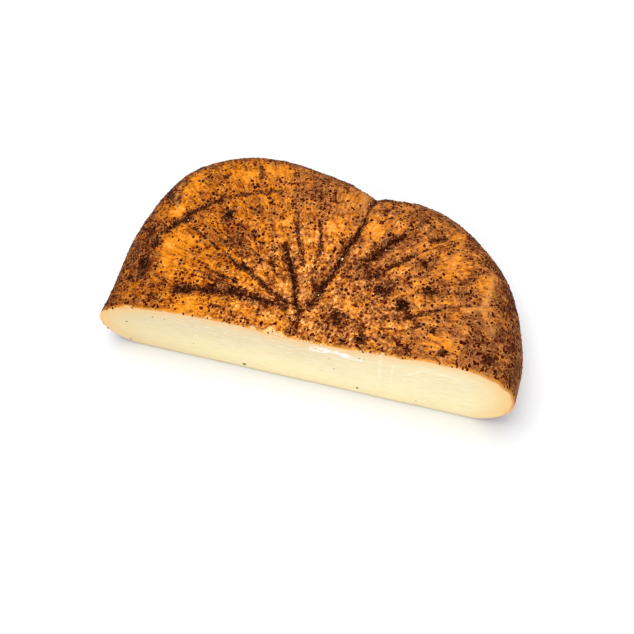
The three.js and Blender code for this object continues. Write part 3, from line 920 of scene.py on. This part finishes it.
def paste_material():
    """Cream, streaked by the wire, darker to the ends and the rind, wet where the fat is smeared, and with
    painted highlights and painted shade.
    """
    material, tree, shader, where = new_material("cut paste")
    across, _, height_up = add_node(tree, "ShaderNodeSeparateXYZ", {0: where}).outputs
    broad = clouds(tree, where, scale=30)
    curd = clouds(tree, where, scale=260, detail=5, roughness=0.6)
    ragged = clouds(tree, where, scale=280, detail=4, roughness=0.6)
    drag = clouds(tree, stretched(tree, where, DRAG_STREAKS))

    # Painted shade: darker and greyer to the top, most to the left, so the cream low down looks lit from the
    # floor
    high = ramp(tree, reckon(tree, "MULTIPLY_ADD", broad, UNEVEN_RISE, height_up), (30 * MM, 70 * MM))
    high = reckon(tree, "MULTIPLY", high, ramp(tree, across, (-10 * MM, 70 * MM), (1, 0.45)))
    body = mix(tree, high, CREAM_LOW, CREAM_SHADED)
    body = mix(tree, ramp(tree, drag, (0.52, 0.68), (0, 0.6)), body, CREAM_PALE)
    body = mix(tree, ramp(tree, drag, (0.45, 0.3), (0, 0.4)), body, CREAM_DULL)
    body = mix(tree, ramp(tree, curd, (0.55, 0.75), (0, 0.4)), body, CREAM_PALE)

    # Drier to both ends, and darker to the left with painted shade
    to_end = ramp(tree, reckon(tree, "ABSOLUTE", across, 0), (100 * MM, 138 * MM), (0, 0.9))
    body = mix(tree, to_end, body, PASTE_END)
    body = mix(tree, ramp(tree, across, (-20 * MM, -135 * MM), (0, 0.55)), body, PASTE_SHADED_LEFT)

    # Stained by the rind in a wide soft band and a thin line, which widens to the right, and darkened at the
    # foot by a painted contact shadow
    depth = reckon(tree, "MULTIPLY_ADD", ragged, -STAIN_RAGGEDNESS, painted(tree, "from_edge"))
    stained = ramp(tree, depth, (13 * MM, -2 * MM), (0, 0.66))
    stained = reckon(tree, "ADD", stained, ramp(tree, depth, (1.4 * MM, -2 * MM), (0, 0.4)))
    off_base = ramp(tree, height_up, (6 * MM, 30 * MM), (0.15, 1))
    body = mix(tree, reckon(tree, "MULTIPLY", stained, off_base), body, PASTE_AMBER)
    line_depth = reckon(tree, "SUBTRACT", depth, ramp(tree, across, (90 * MM, 125 * MM), (0, 0.8 * MM)))
    line_depth = reckon(tree, "ADD", line_depth, ramp(tree, across, (-100 * MM, -130 * MM), (0, 1 * MM)))
    line = ramp(tree, line_depth, (-0.6 * MM, -2.2 * MM))
    line = reckon(tree, "MULTIPLY", line, ramp(tree, height_up, (10 * MM, 45 * MM)))
    body = mix(tree, line, body, PASTE_LINE)
    body = mix(tree, ramp(tree, height_up, (3.4 * MM, 0.8 * MM), (0, 0.55)), body, PASTE_CONTACT_SHADOW)

    # Painted highlights along the wire's marks, and wet with fat that is painted white as a highlight
    marks_highlight = reckon(tree, "MULTIPLY", painted(tree, "wire_mark_highlight"), ramp(tree, curd, (0.35, 0.6)))
    body = mix(tree, marks_highlight, body, CREAM_PALE)
    wet_and_highlight = ramp(tree, add_waves(tree, drag, curd, SMEAR_BREAKS), (0.4, 0.56))
    wet_and_highlight = reckon(tree, "MULTIPLY", painted(tree, "smear_and_highlight"), wet_and_highlight)
    body = mix(tree, ramp(tree, wet_and_highlight, (0.15, 0.5)), body, SMEAR_HIGHLIGHT)

    dull = ramp(tree, curd, (0.3, 0.7), (0.36, 0.52))
    finish = {
        "Base Color": body,
        "Roughness": reckon(tree, "MULTIPLY_ADD", wet_and_highlight, WET_SHINE, dull),
        "Subsurface Weight": 0.2,
        "Subsurface Radius": (1, 0.7, 0.4),
        "Subsurface Scale": 4 * MM,
        "Normal": bumps(tree, reckon(tree, "MULTIPLY_ADD", drag, DRAG_HEIGHT, curd), *PASTE_BUMPS),
    }
    set_inputs(tree, shader, finish)
    return material


cheese.data.materials.append(rind_material())
cheese.data.materials.append(paste_material())
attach(cheese, "root")
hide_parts("half_wheel")


# The coarse rub
# Cracked pepper and cocoa, pressed by hand into the oiled rind, where they stuck half sunk. Every grain is a
# small broken lump, and they lie thickest in the pleats and down the side.
GRAIN_COUNT = 6600
GRAIN_RADII = (0.45 * MM, 1.4 * MM)
GRAIN_FINENESS = 1.7  # the higher, the more of the grains are small
GRAIN_WIDTH = 0.8  # shares of the length
GRAIN_FLATNESS = 0.6
GRAIN_BREAK = 0.25
GRAIN_SUNK = 0.3
CLUMP_SPACING = 5 * MM
CLUMP_LEVELS = (-0.3, 0.4)
BETWEEN_CLUMPS = 0.25
CROWD_RANGE = (0.1, 1.2)  # thickness of the rub, from where grains are rare to where they crowd most
CROWDING = 1.6
OFF_STEEP = 0.9
GRAIN_HEIGHTS = (3 * MM, 12 * MM)  # above the board, where the grains begin and are as many as anywhere
# Grains that the wire left on the cut: place across and up it, and radius, in millimetres
GRAINS_ON_CUT = [
    (-41, 6, 1.5), (18, 46, 1.1), (37, 56, 1), (40, 57, 0.7), (21, 32, 0.7), (36, 8, 1.2), (75, 9, 1),
    (-118, 34, 0.9), (-97, 50, 0.9), (-89, 51, 0.9), (-74, 22, 0.7), (-121, 6, 1.1),
]
draws = np.random.default_rng(11)

bpy.ops.object.select_all(action="DESELECT")
bpy.ops.mesh.primitive_ico_sphere_add(subdivisions=1, radius=1)
lump = bpy.context.object
lump_places = vertex_places(lump)
lump_faces = np.array([polygon.vertices[:] for polygon in lump.data.polygons])
bpy.data.objects.remove(lump)


def scatter_spots(piece, count, weight_of_corner):
    """Random places on the rind, with the way that it faces there, thicker where the corners weigh more."""
    mesh = piece.data
    mesh.calc_loop_triangles()
    triangles = np.array([t.vertices[:] for t in mesh.loop_triangles if t.material_index == 0])
    corners = vertex_places(piece)[triangles]
    facing = np.cross(corners[:, 1] - corners[:, 0], corners[:, 2] - corners[:, 0])
    area = np.linalg.norm(facing, axis=1)
    weight = area * weight_of_corner[triangles].mean(axis=1)
    chosen = draws.choice(len(triangles), count, p=weight / weight.sum())
    first, second = np.sort(draws.random((2, count)), axis=0)
    shares = np.column_stack([first, second - first, 1 - second])
    return (corners[chosen] * shares[:, :, None]).sum(axis=1), facing[chosen] / area[chosen, None]


def lumps_mesh(name, spots, facing, radii, flatness, sunk):
    """Broken lumps in one mesh, each turned at random round the way that the rind faces."""
    count, corners = len(spots), len(lump_places)
    side = np.cross(facing, draws.normal(size=(count, 3)))
    side /= np.linalg.norm(side, axis=1)[:, None]
    axes = np.stack([side, np.cross(facing, side), facing], axis=1)
    broken = lump_places[None] * draws.uniform(1 - GRAIN_BREAK, 1 + GRAIN_BREAK, (count, corners, 1))
    broken = broken * [1, GRAIN_WIDTH, flatness] * radii[:, None, None]
    middles = spots - facing * (sunk * radii)[:, None]
    places = np.einsum("nij,njk->nik", broken, axes) + middles[:, None]
    faces = lump_faces[None] + (np.arange(count) * corners)[:, None, None]
    mesh = bpy.data.meshes.new(name)
    mesh.from_pydata(places.reshape(-1, 3), [], faces.reshape(-1, 3).tolist())
    piece = bpy.data.objects.new(name, mesh)
    bpy.context.scene.collection.objects.link(piece)
    paint(piece, "tone", np.repeat(draws.random(count), corners))
    return piece


clumps = smooth_step(waver(places, CLUMP_SPACING), *CLUMP_LEVELS)
crowd = np.clip(rub, *CROWD_RANGE) ** CROWDING * (BETWEEN_CLUMPS + clumps)
crowd *= 1 - OFF_STEEP * steep
crowd *= smooth_step(places[:, 2], *GRAIN_HEIGHTS)
spots, facing = scatter_spots(cheese, GRAIN_COUNT, crowd)
smallest, largest = GRAIN_RADII
radii = smallest + (largest - smallest) * draws.random(GRAIN_COUNT) ** GRAIN_FINENESS
on_cut = np.array(GRAINS_ON_CUT) * MM + [AXIS_X, 0, 0]
spots = np.vstack([spots, np.insert(on_cut[:, :2], 1, cad_low[1], axis=1)])
facing = np.vstack([facing, np.tile([0, -1, 0], (len(on_cut), 1))])
radii = np.concatenate([radii, on_cut[:, 2]])
rub_grains = lumps_mesh("rub_grains", spots, facing, radii, GRAIN_FLATNESS, GRAIN_SUNK)
corner_tree = search_tree(places, np.arange(len(places)))
packed = rub[[corner_tree.find(spot)[1] for spot in spots.tolist()]]
paint(rub_grains, "packed", np.repeat(packed, len(lump_places)))

GRAIN_DARK = colour(62, 10, 0)
GRAIN_LIGHT = colour(102, 30, 2)
FLAWS = 0.6  # how much the tone changes over a grain or a crumb


def grain_material():
    """Near black to dark red, each grain in its own tone, and browner where the rub is packed."""
    material, tree, shader, where = new_material("ground rub")
    flaws = clouds(tree, where, scale=1800, detail=2)
    tone = add_waves(tree, painted(tree, "tone"), flaws, FLAWS)
    body = mix(tree, ramp(tree, tone, (0.2, 1)), GRAIN_DARK, GRAIN_LIGHT)
    brown = tint(tree, ramp(tree, tone, (0, 1), (0.9, 0.45)), PACKED_TONES)
    finish = {
        "Base Color": mix(tree, ramp(tree, painted(tree, "packed"), (0.65, 1)), body, brown),
        "Roughness": ramp(tree, flaws, (0.3, 0.7), (0.4, 0.65)),
        "Specular IOR Level": MATTE,
    }
    set_inputs(tree, shader, finish)
    return material


rub_grains.data.materials.append(grain_material())
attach(rub_grains, "root")


# The paste's crumbs
# Crumbs of the pale paste, which broke off under the wire and stuck where they fell: along the upper edge of
# the cut, in the deep fold and in the oiled creases. Each is a small broken lump. Those on the top and by the
# creases also stand for painted glints of the oiled rind.
CRUMB_FLATNESS = 0.75
CRUMB_SUNK = 0.2
# Place on the top from the axis, and radius, in millimetres
CRUMBS_AND_GLINTS_ON_TOP = [
    (12, 60, 1.4), (3, 34, 0.6), (26, 67, 0.6), (-39, 26, 0.5), (-37, 26, 0.5), (48, 13, 0.5),
    (-92, 67, 0.5),
]
LOOSE_CRUMBS_AND_GLINTS = 10
EDGE_CRUMBS = 34
CRUMB_RADII = (0.25 * MM, 0.6 * MM)
EDGE_CRUMB_RANGE = (-36 * MM, 56 * MM)
LOOKING_UP = 0.5
BY_A_CREASE = 0.6

on_top = np.array(CRUMBS_AND_GLINTS_ON_TOP) * MM
rind_corners = np.flatnonzero(on_rind & (normals[:, 2] > LOOKING_UP))
rind_tree = search_tree(places[rind_corners] * [1, 1, 0], rind_corners)
near = [rind_tree.find((x + AXIS_X, y + cad_low[1], 0))[1] for x, y, _ in on_top.tolist()]
upper_edge = cut_edge[places[cut_edge, 2] > UPPER_EDGE[1]]
first, last = EDGE_CRUMB_RANGE
reached = (places[upper_edge, 0] > first) & (places[upper_edge, 0] < last)
near += draws.choice(upper_edge[reached], EDGE_CRUMBS, replace=False).tolist()
near += draws.choice(rind_corners[lips[rind_corners] > BY_A_CREASE], LOOSE_CRUMBS_AND_GLINTS, replace=False).tolist()
radii = np.concatenate([on_top[:, 2], draws.uniform(*CRUMB_RADII, EDGE_CRUMBS + LOOSE_CRUMBS_AND_GLINTS)])
paste_crumbs = lumps_mesh("paste_crumbs", places[near], normals[near], radii, CRUMB_FLATNESS, CRUMB_SUNK)

CRUMB_PALE = colour(252, 238, 208)
CRUMB_OILED = colour(238, 200, 146)


def crumb_material():
    """Pale cream to amber, as more of the oil soaked in."""
    material, tree, shader, where = new_material("paste crumb")
    flaws = clouds(tree, where, scale=1500, detail=2)
    oiled = add_waves(tree, painted(tree, "tone"), flaws, FLAWS)
    finish = {
        "Base Color": mix(tree, oiled, CRUMB_PALE, CRUMB_OILED),
        "Roughness": ramp(tree, flaws, (0.3, 0.7), (0.4, 0.6)),
    }
    set_inputs(tree, shader, finish)
    return material


paste_crumbs.data.materials.append(crumb_material())
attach(paste_crumbs, "root")


# The stage
# A plain pale floor under soft white light, with one lamp over the top and a weaker one on the cut, and the
# camera where it looks down on both.
FLOOR_SIZE = 6
FLOOR_PALE = colour(250, 252, 255)
FLOOR_ROUGHNESS = 0.8
SKY = {"Color": (1, 1, 1, 1), "Strength": 0.45}
# Name, place, size and power
LAMPS = [
    ("over the top", Vector((-0.12, 0.1, 1.1)), 0.9, 9.6),
    ("on the cut", Vector((0.2, -1.1, 0.7)), 0.6, 4.5),
]
LAMP_TARGET = Vector((0, 0, 0.03))
CAMERA_PLACE = Vector((AXIS_X + 0.0897, -0.3039, 0.5988))
CAMERA_TARGET = Vector((AXIS_X - 0.0036, -0.0217, 0))
CAMERA_ROLL = math.radians(-4.35)
CAMERA_LENS = 55.4

bpy.ops.object.select_all(action="DESELECT")
bpy.ops.mesh.primitive_plane_add(size=FLOOR_SIZE)
floor = bpy.context.object
floor.name = "floor"
pale, tree, shader, _ = new_material("pale floor")
set_inputs(tree, shader, {"Base Color": FLOOR_PALE, "Roughness": FLOOR_ROUGHNESS})
floor.data.materials.append(pale)

scene = bpy.context.scene
scene.view_settings.view_transform = "Standard"
world = bpy.data.worlds.new("soft light")
world.use_nodes = True
set_inputs(world.node_tree, world.node_tree.nodes["Background"], SKY)
scene.world = world


def look_at(place, target):
    return (target - place).to_track_quat("-Z", "Y")


for name, place, size, power in LAMPS:
    bpy.ops.object.light_add(type="AREA", location=place)
    lamp = bpy.context.object
    lamp.name = name
    lamp.data.size = size
    lamp.data.energy = power
    lamp.rotation_euler = look_at(place, LAMP_TARGET).to_euler()

bpy.ops.object.camera_add(location=CAMERA_PLACE)
camera = bpy.context.object
camera.rotation_mode = "QUATERNION"
camera.rotation_quaternion = look_at(CAMERA_PLACE, CAMERA_TARGET) @ Quaternion((0, 0, 1), CAMERA_ROLL)
camera.data.lens = CAMERA_LENS
scene.camera = camera
